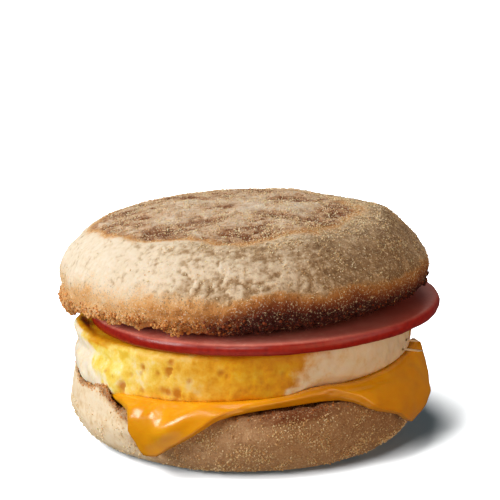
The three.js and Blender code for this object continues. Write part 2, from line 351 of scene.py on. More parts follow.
keep(crown, "griddled", crown_griddled)
keep(crown, "toasted", np.maximum(crown_toasted, 0.75 * crown_cut * (1 + nooks)))
# The relief value also sets the colour: ridges are painted paler, and creases, seams and the griddled
# hollows darker, as painted light and shade.
relief = crown_side * (0.7 * folds + 0.5 * fine_folds - 0.35 * wrinkled) + 0.3 * grain
# Painted shade: shade darkens the skin towards the right and a little at the front, through the relief
# value, and the patch factor lightens it near 288 degrees.
less_shade_patch = 1 - 0.34 * near(angle, 288, 13)
shade = 0.95 * rough_shaded_side * ramp(top_radius, 26, 38) * less_shade_patch + 0.16 * near(angle, 262, 14)
relief -= (0.3 + shade) * ramp(height, 4, 8) * (1 - crown_griddled)
relief += crown_griddled * (0.6 * seams + 0.5 - 0.5 * ramp(top_radius, 16, 28) - 1.3 * hollow)
keep(crown, "relief", relief + 0.7 * crown_lip * crags)
# Painted shade on the shaded right side, which the finish uses to darken the toast colour.
keep(crown, "side_shade", rough_shaded_side)
floury = np.maximum.reduce([0.1 + 0.85 * rough_shaded_side, crown_griddled, ramp(crown_toasted, 0.0, 0.25)])
keep(crown, "sand", floury * (1 - 0.5 * ramp(crown_toasted, 0.6, 1)))

# %% [markdown]
# ## The finish of the bread
# English muffin crust: baked flour dough, dusted with cornmeal and dry to the touch, so it is rough
# and has hardly any shine. Its colour tells how hot each spot became: cream where it only rose,
# golden, orange-brown and at last dark brown where it touched the griddle or met the toaster. Some
# of its darkness is painted shade: in creases, pits and hollows, and on the shaded side. One
# function makes the finish of both halves, because they are the same bread. A ramp of colours ends
# at 1. Where two stops share that end, the colour jumps there.


# %% Bread finish
def bread_finish(name, skin_stops, toast_stops, griddle_stops, grain_colour):
    """Baked crust: mottled skin, a golden to dark toasted zone, and a speckled griddled zone."""
    material, tree, shader, place = new_finish(name, Roughness=0.92, IOR=1.4, Subsurface_Weight=0.1)
    shader.inputs["Subsurface Radius"].default_value = (1.0, 0.55, 0.3)
    shader.inputs["Subsurface Scale"].default_value = 1.0 * MM
    griddled, toasted, relief, sand, side_shade = [
        add(tree, "Attribute", {}, out="Fac", attribute_name=what)
        for what in ("griddled", "toasted", "relief", "sand", "side_shade")
    ]
    # Patches are as broad as the blisters of the dough, mottles as its skin's wrinkles, and
    # specks as the flour and the cornmeal on it.
    patches, mottles, specks = [
        add(
            tree,
            "TexNoise",
            {"Vector": place, "Scale": 1 / (size * MM), "Detail": detail, "Roughness": roughness},
        )
        for size, detail, roughness in ((8, 4, 0.55), (2.2, 5, 0.62), (0.5, 2, 0.75))
    ]

    def sum_of(**shares):
        """A weighted sum of the sources above."""
        total = None
        sources = {"toasted": toasted, "relief": relief, "griddled": griddled}
        sources.update(patches=patches, mottles=mottles, specks=specks)
        for what, share in shares.items():
            feeds = {0: sources[what], 1: share, 2: 0.0 if total is None else total}
            total = add(tree, "Math", feeds, operation="MULTIPLY_ADD")
        return total

    def step(value, start, end):
        """0 up to start and 1 from end on."""
        feeds = {"Value": value, "From Min": start, "From Max": end}
        return add(tree, "MapRange", feeds, interpolation_type="SMOOTHSTEP")

    # Painted light and shade: a high relief value gives paler skin and a less burnt top, and a low one
    # darker.
    paleness = sum_of(relief=0.25, mottles=0.38, patches=0.22)
    skin = add(tree, "ValToRGB", {"Fac": paleness}, stops=skin_stops)
    heat = sum_of(toasted=0.8, mottles=0.3, specks=0.34)
    toast = add(tree, "ValToRGB", {"Fac": heat}, stops=toast_stops)
    # Painted shade: the toast colour is multiplied by a grey beige where the side is in shade.
    toast_in_shade = {"Fac": side_shade, "Color1": toast, "Color2": "#cdc2b8"}
    toast = add(tree, "MixRGB", toast_in_shade, blend_type="MULTIPLY")
    crust = add(tree, "MixRGB", {"Fac": step(heat, 0.36, 0.6), "Color1": skin, "Color2": toast})

    burnt = sum_of(patches=0.65, mottles=0.5, specks=0.7, relief=-0.2)
    scorch = add(tree, "ValToRGB", {"Fac": burnt}, stops=griddle_stops)
    border = sum_of(griddled=1.0, mottles=0.5, specks=0.7)
    fleck_stops = [(0.38, "#b06f35"), (0.5, "#d09a5c"), (0.64, "#efd0a2")]
    flecks = add(tree, "ValToRGB", {"Fac": specks}, stops=fleck_stops)
    golden = add(tree, "MixRGB", {"Fac": step(border, 0.62, 1.0), "Color1": crust, "Color2": flecks})
    colour = add(tree, "MixRGB", {"Fac": step(border, 1.0, 1.5), "Color1": golden, "Color2": scorch})

    # Light grains where the specks are high, and dark pits where they are low; the pits' darkness is
    # painted shade.
    for start, end, share, tint in ((0.56, 0.66, 0.6, grain_colour), (0.44, 0.34, 0.5, "#4a2314")):
        dots = add(tree, "Math", {0: step(specks, start, end), 1: sand}, operation="MULTIPLY")
        dots = add(tree, "Math", {0: dots, 1: share}, operation="MULTIPLY")
        colour = add(tree, "MixRGB", {"Fac": dots, "Color1": colour, "Color2": tint})
    tree.links.new(colour, shader.inputs["Base Color"])

    rough = add(tree, "MapRange", {"Value": sand, "To Min": 0.03, "To Max": 0.9})
    grit = sum_of(mottles=0.8, specks=0.7)
    bump = add(tree, "Bump", {"Strength": rough, "Distance": 0.4 * MM, "Height": grit})
    tree.links.new(bump, shader.inputs["Normal"])
    return material


crown_crust = bread_finish(
    "toasted_muffin_crust",
    skin_stops=[(0.0, "#8c7050"), (0.08, "#b0926e"), (0.2, "#e6d5ba"), (0.3, "#eee1cc"), (0.45, "#f2e9da")],
    toast_stops=[
        (0.42, "#e8c391"),
        (0.54, "#e4ae6c"),
        (0.7, "#cb8745"),
        (0.84, "#965129"),
        (0.97, "#6c2411"),
        (1.0, "#470e06"),
    ],
    griddle_stops=[
        (0.7, "#eedfca"),
        (0.84, "#d9bb9b"),
        (0.94, "#bd9068"),
        (1.0, "#9c683d"),
        (1.0, "#7a4723"),
    ],
    grain_colour="#f4e6cb",
)
dress(crown, crown_crust, "upper_muffin", "muffin_crown")

# %% [markdown]
# ## The heel's bread
# The lower half stands on its own griddled face. Its side is smoother and browner than the crown's,
# and from the front round the right, and under the cheese, it is painted browner still, partly as
# painted shade. Its upper rim was torn when the muffin was split, so crumb stands up beside the egg
# and the cheese. It is made in the same way as the crown.

# %% Heel mesh and zones
FACE_SLOPE = math.tan(math.radians(4.0)) / 16.8  # the cut face leans: heights grow with x by this

heel = merged_copy("muffin_heel", "heel_bread")
modify(heel, "REMESH", mode="VOXEL", voxel_size=BREAD_VOXEL)
modify(heel, "SMOOTH", factor=0.5, iterations=4)

spots = read(heel) / MM
radius, angle, height = polar(spots)
level = height / (1 + FACE_SLOPE * spots[:, 0])
wander = lumps(spots, 8, 11, 3)
heel_side = ramp(level, 0.8, 3) * ramp(level, 15.5, 13.5) * ramp(radius, 36, 41)
heel_cut = ramp(level, 15.8, 16.4) * ramp(radius, 42.8, 41.8)
heel_griddled = ramp(level + 0.5 * wander, 1.8, 0.5)
# From the front round the right: a browner crust with deeper wrinkles, partly painted shade where the heel
# lies in shade.
browner_shaded_side = np.maximum(ramp(angle + 5 * wander, 222, 248), ramp(angle, 120, 80))
torn_line = 21.4 - 0.385 * (angle - 208)  # mm, the torn edge falls from the egg to the hanging cheese
beside_cheese = np.exp(-(((height - torn_line) / 1.2) ** 2)) * ramp(angle, 200, 206) * ramp(angle, 234, 230)
# Under the hanging cheese the crust is painted browner: partly toast, partly painted shade.
toast_and_shade_under_cheese = near(angle, 285, 24) * ramp(level, 12, 15)
tops = np.zeros(360)  # mm, the height of the rim at each degree
np.maximum.at(tops, angle.astype(int) % 360, np.where(radius > 42.6, height, 0))
below_top = np.interp(angle, np.arange(360) + 0.5, tops) - height
crest = ramp(below_top, 1.5, 0.5) * ramp(radius, 42.2, 42.9) * ramp(level, 14.5, 15.5)
heel_toast_and_shade = np.maximum.reduce([0.36 * crest, 0.46 * beside_cheese, 0.68 * toast_and_shade_under_cheese, 0.4 * browner_shaded_side])

# %% Heel shape
folds = np.abs(lumps(spots, (4, 4, 6), 12, 2))
fine_folds = np.abs(lumps(spots, 1.6, 13, 2))
nooks = np.minimum(0, lumps(spots, 3.4, 14, 2) - 0.1)
crags = lumps(spots, 2.0, 15, 3)
grain = lumps(spots, 0.95, 16, 2)
torn = np.maximum(crest, beside_cheese)

shape = 0.2 * lumps(spots, 12, 17) * ramp(height, 0, 2) + 0.05 * grain * ramp(height, 0.2, 1)
shape += heel_side * ((0.03 + 0.19 * browner_shaded_side) * folds + (0.02 + 0.13 * browner_shaded_side) * fine_folds - 0.08)
shape += torn * (0.42 * crags + 0.16 * grain - 0.05)
shape += heel_cut * 1.5 * nooks
push(heel, shape)

keep(heel, "griddled", heel_griddled)
# The heel's toast value also carries painted shade, under the cheese and from the front round the right.
# The grains on the heel take it over.
keep(heel, "toasted", np.maximum(heel_toast_and_shade, 0.75 * heel_cut * (1 + nooks)))
wrinkles = (folds + 0.5 * fine_folds - 0.4) * (0.25 + 0.75 * browner_shaded_side)
# Painted shade: the heel's creases are painted darker through the relief value.
keep(heel, "relief", heel_side * (wrinkles - 0.1) + 0.3 * grain + torn * crags)
keep(heel, "sand", np.maximum.reduce([0.15 + 0.75 * browner_shaded_side, torn, heel_cut]))
# Painted shade towards the right, which the finish uses to darken the toast colour.
keep(heel, "side_shade", 0.6 * ramp(angle, 278, 318))

heel_crust = bread_finish(
    "floury_muffin_crust",
    skin_stops=[(0.1, "#cfae82"), (0.2, "#e0c49a"), (0.3, "#ecd8b8"), (0.45, "#f1e2c8")],
    toast_stops=[
        (0.42, "#dcb887"),
        (0.58, "#c39b73"),
        (0.72, "#a37953"),
        (0.86, "#864f2b"),
        (0.98, "#5f321c"),
        (1.0, "#3d1b10"),
    ],
    griddle_stops=[
        (0.72, "#c9a877"),
        (0.86, "#b08a5a"),
        (0.96, "#8f683e"),
        (1.0, "#744f2c"),
        (1.0, "#553619"),
    ],
    grain_colour="#ecd5ab",
)
dress(heel, heel_crust, "lower_muffin", "muffin_heel")

# %% [markdown]
# ## The egg
# An egg that was broken in a ring and cooked on a griddle: its side shows the ring's smooth wall,
# with pores where steam came out. The yolk was stirred into it, so most of it is yellow, and the
# white shows pure only in places. The pores could be a texture, but they are deep enough to have
# their own shade, so they are dents in the mesh, placed at random round the side.

# %% Egg mesh and pores
EGG_RADIUS = 42.2  # mm
SMALL_PORES = 300

egg = merged_copy("ring_egg", "egg_round")
modify(egg, "REMESH", mode="VOXEL", voxel_size=0.55 * MM)
modify(egg, "SMOOTH", factor=0.5, iterations=5)

spots = read(egg) / MM
radius, angle, height = polar(spots)
chance = np.random.default_rng(5)
BIG_PORES = [  # angle in degrees, then height and size in millimetres
    (245, 25.9, 1.7),
    (243.4, 20.6, 1.3),
    (247.1, 20.4, 1.5),
    (225.3, 19.8, 1.4),
    (262, 26.5, 1.0),
]
pores = BIG_PORES + [
    (chance.uniform(0, 360), chance.uniform(18.5, 31), 0.3 + 0.8 * chance.random() ** 3)
    for _ in range(SMALL_PORES)
]
pore_tree = kdtree.KDTree(len(pores))
for i, (turn, rise, across) in enumerate(pores):
    lean = math.radians(turn)
    pore_tree.insert((EGG_RADIUS * math.cos(lean), EGG_RADIUS * math.sin(lean), rise), i)
pore_tree.balance()

# %% [markdown]
# The white shows at the left, at the right and in patches round the back. At the far left the upper
# edge rises a little, like a brow, and the side below it bulges out. The top inside that edge is
# painted deep yolk with some pore colour, as painted shade where it lies under the bacon. The yolk is
# pale at the left only, partly as painted light where the key light falls. It deepens towards the
# front, and stays deep round the right and the back, partly as painted shade.

# %% Egg zones and shape
BROW_HEIGHT = 31.2  # mm, on the Z axis
BROW_SLOPE = 0.04  # mm up for each mm to the right

egg_side = ramp(radius, 40.2, 41.6)
wander = lumps(spots, 7, 21, 3)
at_left = ramp(angle + 5 * wander + 1.1 * (height - 26), 211, 203) * ramp(angle, 150, 165)
at_right = ramp(angle + 3 * wander - 0.9 * (height - 26), 282, 298) * ramp(angle, 352, 340)
low_right = near(angle, 285.5, 2.6) * ramp(height + 1.5 * wander, 23.2, 21.8)
behind = np.maximum(ramp(angle, 170, 150), ramp(angle, 340, 352))
elsewhere = ramp(lumps(spots, 11, 22, 3), 0.28, 0.4) * behind
egg_white = np.clip(at_left + at_right + low_right + elsewhere, 0, 1)
inward = radius - 2.8 * near(angle, 188, 26)
below_brow = height - BROW_HEIGHT - BROW_SLOPE * spots[:, 0]
shaded_top = ramp(below_brow, -1.0, -0.3) * ramp(inward, 41.4, 40.4)
beside_brow = near(angle, 211, 8) * ramp(below_brow, -2.3, -1.4) * ramp(inward, 42.8, 42.0)
shaded_top = np.maximum(shaded_top, beside_brow)

dents = np.zeros(len(spots))
for i in np.flatnonzero(egg_side > 0):
    _, pore, away = pore_tree.find(spots[i])
    across = pores[pore][2]
    if away < 2 * across:
        dents[i] = math.exp(-((away / across) ** 2)) * (0.4 + 0.6 * across)
dents *= egg_side * (1 - 0.85 * egg_white)
shape = egg_side * (0.25 * lumps(spots, 5, 23, 2) + 0.1 * lumps(spots, 1.5, 24, 2)) - 0.4 * dents
shape += 1.4 * ramp(angle, 172, 186) * ramp(angle, 232, 218) * ramp(height, 25.5, 22.5) * egg_side
push(egg, shape)
lifted = read(egg)
lifted[:, 2] += 1.1 * MM * near(angle, 190, 11) * ramp(radius, 40.6, 42.4) * ramp(height, 25, 29)
move_to(egg, lifted)
keep(egg, "white", egg_white * (1 - shaded_top))
# Painted shade: the top in the bacon's shade also takes some pore colour.
keep(egg, "pore", np.maximum(dents, 0.3 * shaded_top))
at_back = 0.8 * ramp(angle + 8 * wander, 190, 165)
# Partly painted light and shade: the yolk stays pale at the left, where the key light falls, and is deep in
# the shaded top and elsewhere.
deep_and_shade = np.maximum.reduce([ramp(angle + 8 * wander, 214, 272), ramp(angle, 90, 40), shaded_top, at_back])
keep(egg, "deep_and_shade", deep_and_shade)
print(f"egg: {len(pores)} pores")

# %% [markdown]
# Cooked egg is moist and lets light in a little way, so its shadows glow. The yolk is yellow with
# deeper orange in its pores, and the white is not pure white but cream.

# %% Egg finish
cooked_egg, tree, shader, place = new_finish("cooked_egg", Roughness=0.45, IOR=1.34, Subsurface_Weight=0.2)
shader.inputs["Subsurface Radius"].default_value = (1.0, 0.6, 0.25)
shader.inputs["Subsurface Scale"].default_value = 1.5 * MM
white, pore, deep_and_shade = [
    add(tree, "Attribute", {}, out="Fac", attribute_name=what) for what in ("white", "pore", "deep_and_shade")
]
clouds = add(tree, "TexNoise", {"Vector": place, "Scale": 1 / (3.5 * MM), "Detail": 5, "Roughness": 0.65})
dots = add(tree, "TexNoise", {"Vector": place, "Scale": 1 / (1.2 * MM), "Detail": 3, "Roughness": 0.6})
PALE_LIT_YOLK = [(0.34, "#eac33c"), (0.46, "#f3d65a"), (0.56, "#f8e382"), (0.68, "#faeec0")]
DEEP_YOLK = [(0.34, "#d48c06"), (0.46, "#e2a00c"), (0.58, "#e8b118"), (0.7, "#e8c03c")]
CREAM = [(0.3, "#ecd3a4"), (0.46, "#f7e8cc"), (0.7, "#fcf2de")]
pale_lit_yolk = add(tree, "ValToRGB", {"Fac": clouds}, stops=PALE_LIT_YOLK)
strong = add(tree, "ValToRGB", {"Fac": clouds}, stops=DEEP_YOLK)
# Partly painted light and shade: pale yolk at the lit left, and deep yolk elsewhere and in the shade.
yolk = add(tree, "MixRGB", {"Fac": deep_and_shade, "Color1": pale_lit_yolk, "Color2": strong})
cream = add(tree, "ValToRGB", {"Fac": clouds}, stops=CREAM)
edge = add(tree, "Math", {0: dots, 1: 0.2, 2: white}, operation="MULTIPLY_ADD")
edge = add(tree, "Math", {0: clouds, 1: 0.8, 2: edge}, operation="MULTIPLY_ADD")
edge = {"Value": edge, "From Min": 0.65, "From Max": 1.35}
edge = add(tree, "MapRange", edge, interpolation_type="SMOOTHSTEP")
colour = add(tree, "MixRGB", {"Fac": edge, "Color1": yolk, "Color2": cream})
# The pore value darkens the pores, and also the top under the bacon as painted shade.
pitted = add(tree, "MapRange", {"Value": pore, "From Min": 0.12, "From Max": 0.85, "To Max": 0.88})
colour = add(tree, "MixRGB", {"Fac": pitted, "Color1": colour, "Color2": "#c2780a"})
tree.links.new(colour, shader.inputs["Base Color"])
bump = add(tree, "Bump", {"Strength": 0.35, "Distance": 0.25 * MM, "Height": dots})
tree.links.new(bump, shader.inputs["Normal"])
dress(egg, cooked_egg, "egg", "ring_egg")

# %% [markdown]
# ## The cheese
# A square slice of processed cheese that went soft: its surface is smooth and flows over the rim in
# broad folds, while its cut edge is still fairly crisp. The CAD solid has that drape already. Its
# triangles are joined back to four-sided faces, so that a subdivision surface makes it smooth, and
# a crease on the rims of the cut edge keeps those from being rounded away. A fold is pushed out of
# the hanging corner at the front left, and three small puckers out of the rim there. The left edge
# of that corner is drawn aside a little. Under the egg's rim the cheese swells up to meet it,
# because the real ones are melted together there.

# %% Cheese mesh and shape
cheese = merged_copy("melted_cheese", "cheese_slice")
bpy.ops.object.mode_set(mode="EDIT")
bpy.ops.mesh.select_all(action="SELECT")
bpy.ops.mesh.tris_convert_to_quads()
bpy.ops.mesh.select_all(action="DESELECT")
bpy.ops.mesh.edges_select_sharp(sharpness=math.radians(42))
bpy.ops.transform.edge_crease(value=0.55)
bpy.ops.object.mode_set(mode="OBJECT")
modify(cheese, "SUBSURF", levels=2, render_levels=2)

spots = read(cheese) / MM
radius, angle, height = polar(spots)
PUCKERS = [(230, 19.8), (235, 18.2), (241.5, 17.4)]  # angle and height of small folds on the rim
HANG_RADIUS = 46  # mm, where the cheese hangs
MM_PER_DEGREE = 0.803  # on a circle of that radius
FOLD_FOOT = (197, 12.5)  # mm along that circle, and mm high
FOLD_RUN = (10.4, 7.1)  # its direction: this far along that circle for this far up

free = ramp(radius, 42.0, 44.5)
arc = np.radians(angle) * HANG_RADIUS
fold_way = np.array(FOLD_RUN) / math.hypot(*FOLD_RUN)
from_fold = (arc - FOLD_FOOT[0]) * -fold_way[1] + (height - FOLD_FOOT[1]) * fold_way[0]
along_fold = (arc - FOLD_FOOT[0]) * fold_way[0] + (height - FOLD_FOOT[1]) * fold_way[1]
fold = np.exp(-((from_fold / 1.8) ** 2)) * ramp(along_fold, -4, 2) * ramp(along_fold, 18, 11)
puckers = sum(
    np.exp(-(((arc - MM_PER_DEGREE * turn) / 1.8) ** 2) - ((height - rise) / 2.6) ** 2)
    for turn, rise in PUCKERS
)
shape = free * (0.24 * lumps(spots, 6, 31) + 0.09 * lumps(spots, 2.6, 32, 2) + 0.9 * fold + 0.8 * puckers)
upper_side = read(cheese, "normal")[:, 2] > 0.3
shape += 0.75 * ramp(radius, 39.5, 41.5) * ramp(radius, 44.2, 42.8) * upper_side
push(cheese, shape)

moved = read(cheese)
aside = 1.3 * MM * ramp(height, 18.6, 16) * ramp(height, 8.5, 12)
aside = aside * ramp(angle, 240, 231) * ramp(angle, 220, 225)
moved[:, 0] += aside * np.sin(np.radians(angle))
moved[:, 1] -= aside * np.cos(np.radians(angle))
move_to(cheese, moved)

# %% [markdown]
# Melted cheese is deep orange, lets light in, and is wet with its own fat, so it has bright
# highlights with soft edges. A coat would be too hard and clear for it. A low roughness that varies
# over a millimetre or two gives those edges. The plain value on its socket is about the middle of
# that range.

# %% Cheese finish
soft_cheese, tree, shader, place = new_finish(
    "melted_cheese", Roughness=0.25, IOR=1.48, Subsurface_Weight=0.25
)
shader.inputs["Subsurface Radius"].default_value = (1.0, 0.35, 0.08)
shader.inputs["Subsurface Scale"].default_value = 2.0 * MM
clouds = add(tree, "TexNoise", {"Vector": place, "Scale": 1 / (9 * MM), "Detail": 3, "Roughness": 0.5})
dots = add(tree, "TexNoise", {"Vector": place, "Scale": 1 / (1.6 * MM), "Detail": 4, "Roughness": 0.6})
ORANGES = [(0.3, "#c78304"), (0.55, "#d08d07"), (0.75, "#d99a14")]
colour = add(tree, "ValToRGB", {"Fac": clouds}, stops=ORANGES)
tree.links.new(colour, shader.inputs["Base Color"])
shine = add(tree, "MapRange", {"Value": dots, "To Min": 0.14, "To Max": 0.32})
tree.links.new(shine, shader.inputs["Roughness"])
bump = add(tree, "Bump", {"Strength": 0.25, "Distance": 0.2 * MM, "Height": dots})
tree.links.new(bump, shader.inputs["Normal"])
dress(cheese, soft_cheese, "cheese", "melted_cheese")

# %% [markdown]
# At the right, two threads of egg white ran over the cheese before it set. They could be painted on,
# but they catch the light. Each is a curve with a round section, and a ray that is cast at the stack
# puts each of its points on the surface.

# %% Egg threads
THREADS = [  # angle and height of the points that each thread runs through
    [(337, 25.2), (341, 24.4), (345.5, 23.3), (350, 22.2), (354, 21.2), (359, 20.2)],
    [(339, 27.3), (343, 26.6), (348, 25.4), (352, 24.4)],
]
THREAD_RADIUS = 0.28 * MM
THREAD_LIFT = 0.22 * MM  # less than the radius, so that each thread is sunk in a little
OUTSIDE = 60 * MM  # well clear of the stack


def outermost(turn, rise):
    """The point of the cheese or the egg that shows at an angle and a height."""
    way = Vector((math.cos(math.radians(turn)), math.sin(math.radians(turn)), 0))
    start = OUTSIDE * way + Vector((0, 0, rise * MM))
    casts = [piece.ray_cast(start, -way) for piece in (cheese, egg)]
    hits = [place for hit, place, _, _ in casts if hit]
    return max(hits, key=lambda spot: spot.xy.length) + THREAD_LIFT * way


bpy.context.view_layer.update()
lines = []
for thread in THREADS:
    bpy.ops.object.select_all(action="DESELECT")
    bpy.ops.curve.primitive_nurbs_path_add()
    line = bpy.context.object
    line.data.splines.clear()
    spline = line.data.splines.new("BEZIER")
    spline.bezier_points.add(len(thread) - 1)
    for point, (turn, rise) in zip(spline.bezier_points, thread):
        point.co = outermost(turn, rise)
        point.handle_left_type = point.handle_right_type = "AUTO"
    line.data.dimensions = "3D"
    line.data.bevel_depth = THREAD_RADIUS
    line.data.bevel_resolution = 3
    bpy.ops.object.convert(target="MESH")
    lines.append(line)
select_only(lines[0])
lines[1].select_set(True)
bpy.ops.object.join()
threads = lines[0]
threads.name = "egg_threads"
bpy.ops.object.transform_apply(location=True, rotation=True, scale=True)
keep(threads, "white", np.ones(len(threads.data.vertices)))
dress(threads, cooked_egg, "egg")

# %% [markdown]
# ## The bacon
# A round slice of back bacon: pink cured meat with a faint grain and fine pale marbling, and a
# darker red rim where it was smoked. It is made as the cheese is, and waves only a little. Towards
# the right the meat is painted deeper in colour, as painted shade.

# %% Bacon mesh and shape
BACON_MIDDLE = (4.8, -1.6)  # mm

bacon = merged_copy("round_ham", "bacon_slice")
bpy.ops.object.mode_set(mode="EDIT")
bpy.ops.mesh.select_all(action="SELECT")
bpy.ops.mesh.tris_convert_to_quads()
bpy.ops.object.mode_set(mode="OBJECT")
modify(bacon, "SUBSURF", levels=3, render_levels=3)
spots = leaning(read(bacon), BACON_FLOOR)
from_middle = np.hypot(spots[:, 0] - BACON_MIDDLE[0], spots[:, 1] - BACON_MIDDLE[1])
shape = ramp(from_middle, 41, 44) * (0.12 * lumps(spots, 9, 41) + 0.05 * lumps(spots, 3, 42, 2))
push(bacon, shape)
keep(bacon, "rim", ramp(from_middle, 42.4, 43.6) * ramp(spots[:, 2], 3.3, 2.6))
# Painted shade: the meat is darker towards the right.
keep(bacon, "deep_and_shade", ramp(spots[:, 0], 6, 42))

# %% Bacon finish
cured_bacon, tree, shader, place = new_finish(
    "cured_back_bacon",
    Roughness=0.32,
    IOR=1.36,
    Subsurface_Weight=0.1,
    Coat_Weight=0.05,
    Coat_Roughness=0.15,
)
shader.inputs["Subsurface Radius"].default_value = (1.0, 0.25, 0.15)
shader.inputs["Subsurface Scale"].default_value = 1.0 * MM
rim, deep_and_shade = [add(tree, "Attribute", {}, out="Fac", attribute_name=what) for what in ("rim", "deep_and_shade")]
clouds = add(tree, "TexNoise", {"Vector": place, "Scale": 1 / (7 * MM), "Detail": 4, "Roughness": 0.6})
fibres = add(tree, "TexNoise", {"Vector": place, "Scale": 1 / (1.4 * MM), "Detail": 4, "Roughness": 0.65})
PINKS = [(0.3, "#b86056"), (0.5, "#c46e62"), (0.7, "#d08275")]
SMOKED_REDS = [(0.3, "#720c03"), (0.55, "#871506"), (0.75, "#911e0c")]
meat = add(tree, "ValToRGB", {"Fac": clouds}, stops=PINKS)
veins = add(tree, "MapRange", {"Value": fibres, "From Min": 0.56, "From Max": 0.72, "To Max": 0.5})
meat = add(tree, "MixRGB", {"Fac": veins, "Color1": meat, "Color2": "#dcab97"})
# Painted shade: the meat is mixed towards a deep red on the right.
deep_and_shade = add(tree, "Math", {0: deep_and_shade, 1: 0.8}, operation="MULTIPLY")
meat = add(tree, "MixRGB", {"Fac": deep_and_shade, "Color1": meat, "Color2": "#8a362b"})
smoked = add(tree, "ValToRGB", {"Fac": fibres}, stops=SMOKED_REDS)
colour = add(tree, "MixRGB", {"Fac": rim, "Color1": meat, "Color2": smoked})
tree.links.new(colour, shader.inputs["Base Color"])
bump = add(tree, "Bump", {"Strength": 0.3, "Distance": 0.15 * MM, "Height": fibres})
tree.links.new(bump, shader.inputs["Normal"])
dress(bacon, cured_bacon, "bacon", "round_ham")

# %% [markdown]
# ## Cornmeal and crumbs
# Cornmeal is dusted on the muffins before they are baked, and crumbs stick to the torn edges. Each
# grain is a real little solid, because its light side and its shadow are what makes the crust look
# rough. One grain is modelled, and its copies are spread over the bread at random, turned and sized
# at random, and joined into one mesh.


# %% Spreading grains
def spread(name, grain, carrier, count, weight, sizes, sunk, uneven, seed):
    """Copies of a grain on a carrier's faces, more where the weight is higher, as one mesh.

    The sizes are the smallest and the largest in millimetres, sunk is the share of a grain's width
    that lies in the bread, and uneven is how far its corners stray, as a share of its radius.
    """
    rng = np.random.default_rng(seed)
    carrier.data.calc_loop_triangles()
    corners = np.empty(3 * len(carrier.data.loop_triangles), np.int32)
    carrier.data.loop_triangles.foreach_get("vertices", corners)
    corners = corners.reshape(-1, 3)
    places = read(carrier)[corners]
    across = np.cross(places[:, 1] - places[:, 0], places[:, 2] - places[:, 0])
    area = np.linalg.norm(across, axis=1)
    odds = area * weight[corners].mean(axis=1)
    picked = rng.choice(len(corners), count, p=odds / odds.sum())
    shares = rng.dirichlet((1, 1, 1), count)
    centres = (places[picked] * shares[:, :, None]).sum(axis=1)
    outward = across[picked] / area[picked][:, None]

    base = read(grain)
    faces = np.array([p.vertices[:] for p in grain.data.polygons])
    size = MM * (sizes[0] + (sizes[1] - sizes[0]) * rng.random(count) ** 2)  # mostly small ones
    turns = np.linalg.qr(rng.normal(size=(count, 3, 3)))[0]
    turns *= np.sign(np.linalg.det(turns))[:, None, None]
    bumpy = base[None] * (1 + uneven * rng.normal(size=(count, len(base), 1)))
    points = np.einsum("nij,nkj->nki", turns, bumpy) * size[:, None, None]
    points += (centres + outward * size[:, None] * (0.5 - sunk))[:, None]
    every_face = (faces[None] + len(base) * np.arange(count)[:, None, None]).reshape(-1, 3)
    mesh = bpy.data.meshes.new(name)
    mesh.from_pydata(points.reshape(-1, 3).tolist(), [], every_face.tolist())
    piece = bpy.data.objects.new(name, mesh)
    bpy.context.scene.collection.objects.link(piece)
    toasted = np.empty(len(carrier.data.vertices), np.float32)
    carrier.data.attributes["toasted"].data.foreach_get("value", toasted)
    for what, values in (("tone", rng.random(count)), ("toasted", toasted[corners[picked, 0]])):
        attribute = mesh.attributes.new(what, "FLOAT", "POINT")
        attribute.data.foreach_set("value", np.repeat(values, len(base)).astype(np.float32))
    return piece


# %% One grain and one crumb
bpy.ops.object.select_all(action="DESELECT")
bpy.ops.mesh.primitive_ico_sphere_add(subdivisions=1, radius=0.5)
one_grain = bpy.context.object
bpy.ops.object.mode_set(mode="EDIT")
bpy.ops.mesh.select_all(action="SELECT")
bpy.ops.transform.resize(value=(1.0, 0.8, 0.65))
bpy.ops.object.mode_set(mode="OBJECT")

bpy.ops.object.select_all(action="DESELECT")
bpy.ops.mesh.primitive_ico_sphere_add(subdivisions=1, radius=0.5)
one_crumb = bpy.context.object
print("faces: grain", len(one_grain.data.polygons), "crumb", len(one_crumb.data.polygons))


# %% Cornmeal finish
def grain_finish(name, stops, tone_share, toast_share, roughness):
    """Dry grains, each of its own tone, and darker where the toast value of the bread under them is high,
    which on the heel also holds painted shade.
    """
    material, tree, shader, place = new_finish(name, Roughness=roughness, IOR=1.45, Subsurface_Weight=0.1)
    shader.inputs["Subsurface Scale"].default_value = 0.5 * MM
    tone, toasted = [
        add(tree, "Attribute", {}, out="Fac", attribute_name=what) for what in ("tone", "toasted")
    ]
    dust = add(tree, "TexNoise", {"Vector": place, "Scale": 1 / (0.3 * MM), "Detail": 2})
    mixed = add(tree, "Math", {0: tone, 1: tone_share, 2: 0.0}, operation="MULTIPLY_ADD")
    mixed = add(tree, "Math", {0: dust, 1: 0.25, 2: mixed}, operation="MULTIPLY_ADD")
    mixed = add(tree, "Math", {0: toasted, 1: toast_share, 2: mixed}, operation="MULTIPLY_ADD")
    colour = add(tree, "ValToRGB", {"Fac": mixed}, stops=stops)
    tree.links.new(colour, shader.inputs["Base Color"])
    bump = add(tree, "Bump", {"Strength": 0.3, "Distance": 0.05 * MM, "Height": dust})
    tree.links.new(bump, shader.inputs["Normal"])
    return material


CORNMEAL = [(0.1, "#fbefd2"), (0.5, "#ecd2a2"), (0.8, "#d2a871"), (1.0, "#9a6237")]
CRUMB = [(0.3, "#efc48a"), (0.56, "#d8944f"), (0.74, "#8c401c"), (0.9, "#400b05")]
cornmeal = grain_finish("dry_cornmeal", CORNMEAL, tone_share=0.55, toast_share=0.55, roughness=0.7)
crumb = grain_finish("toasted_crumb", CRUMB, tone_share=0.3, toast_share=0.7, roughness=0.9)

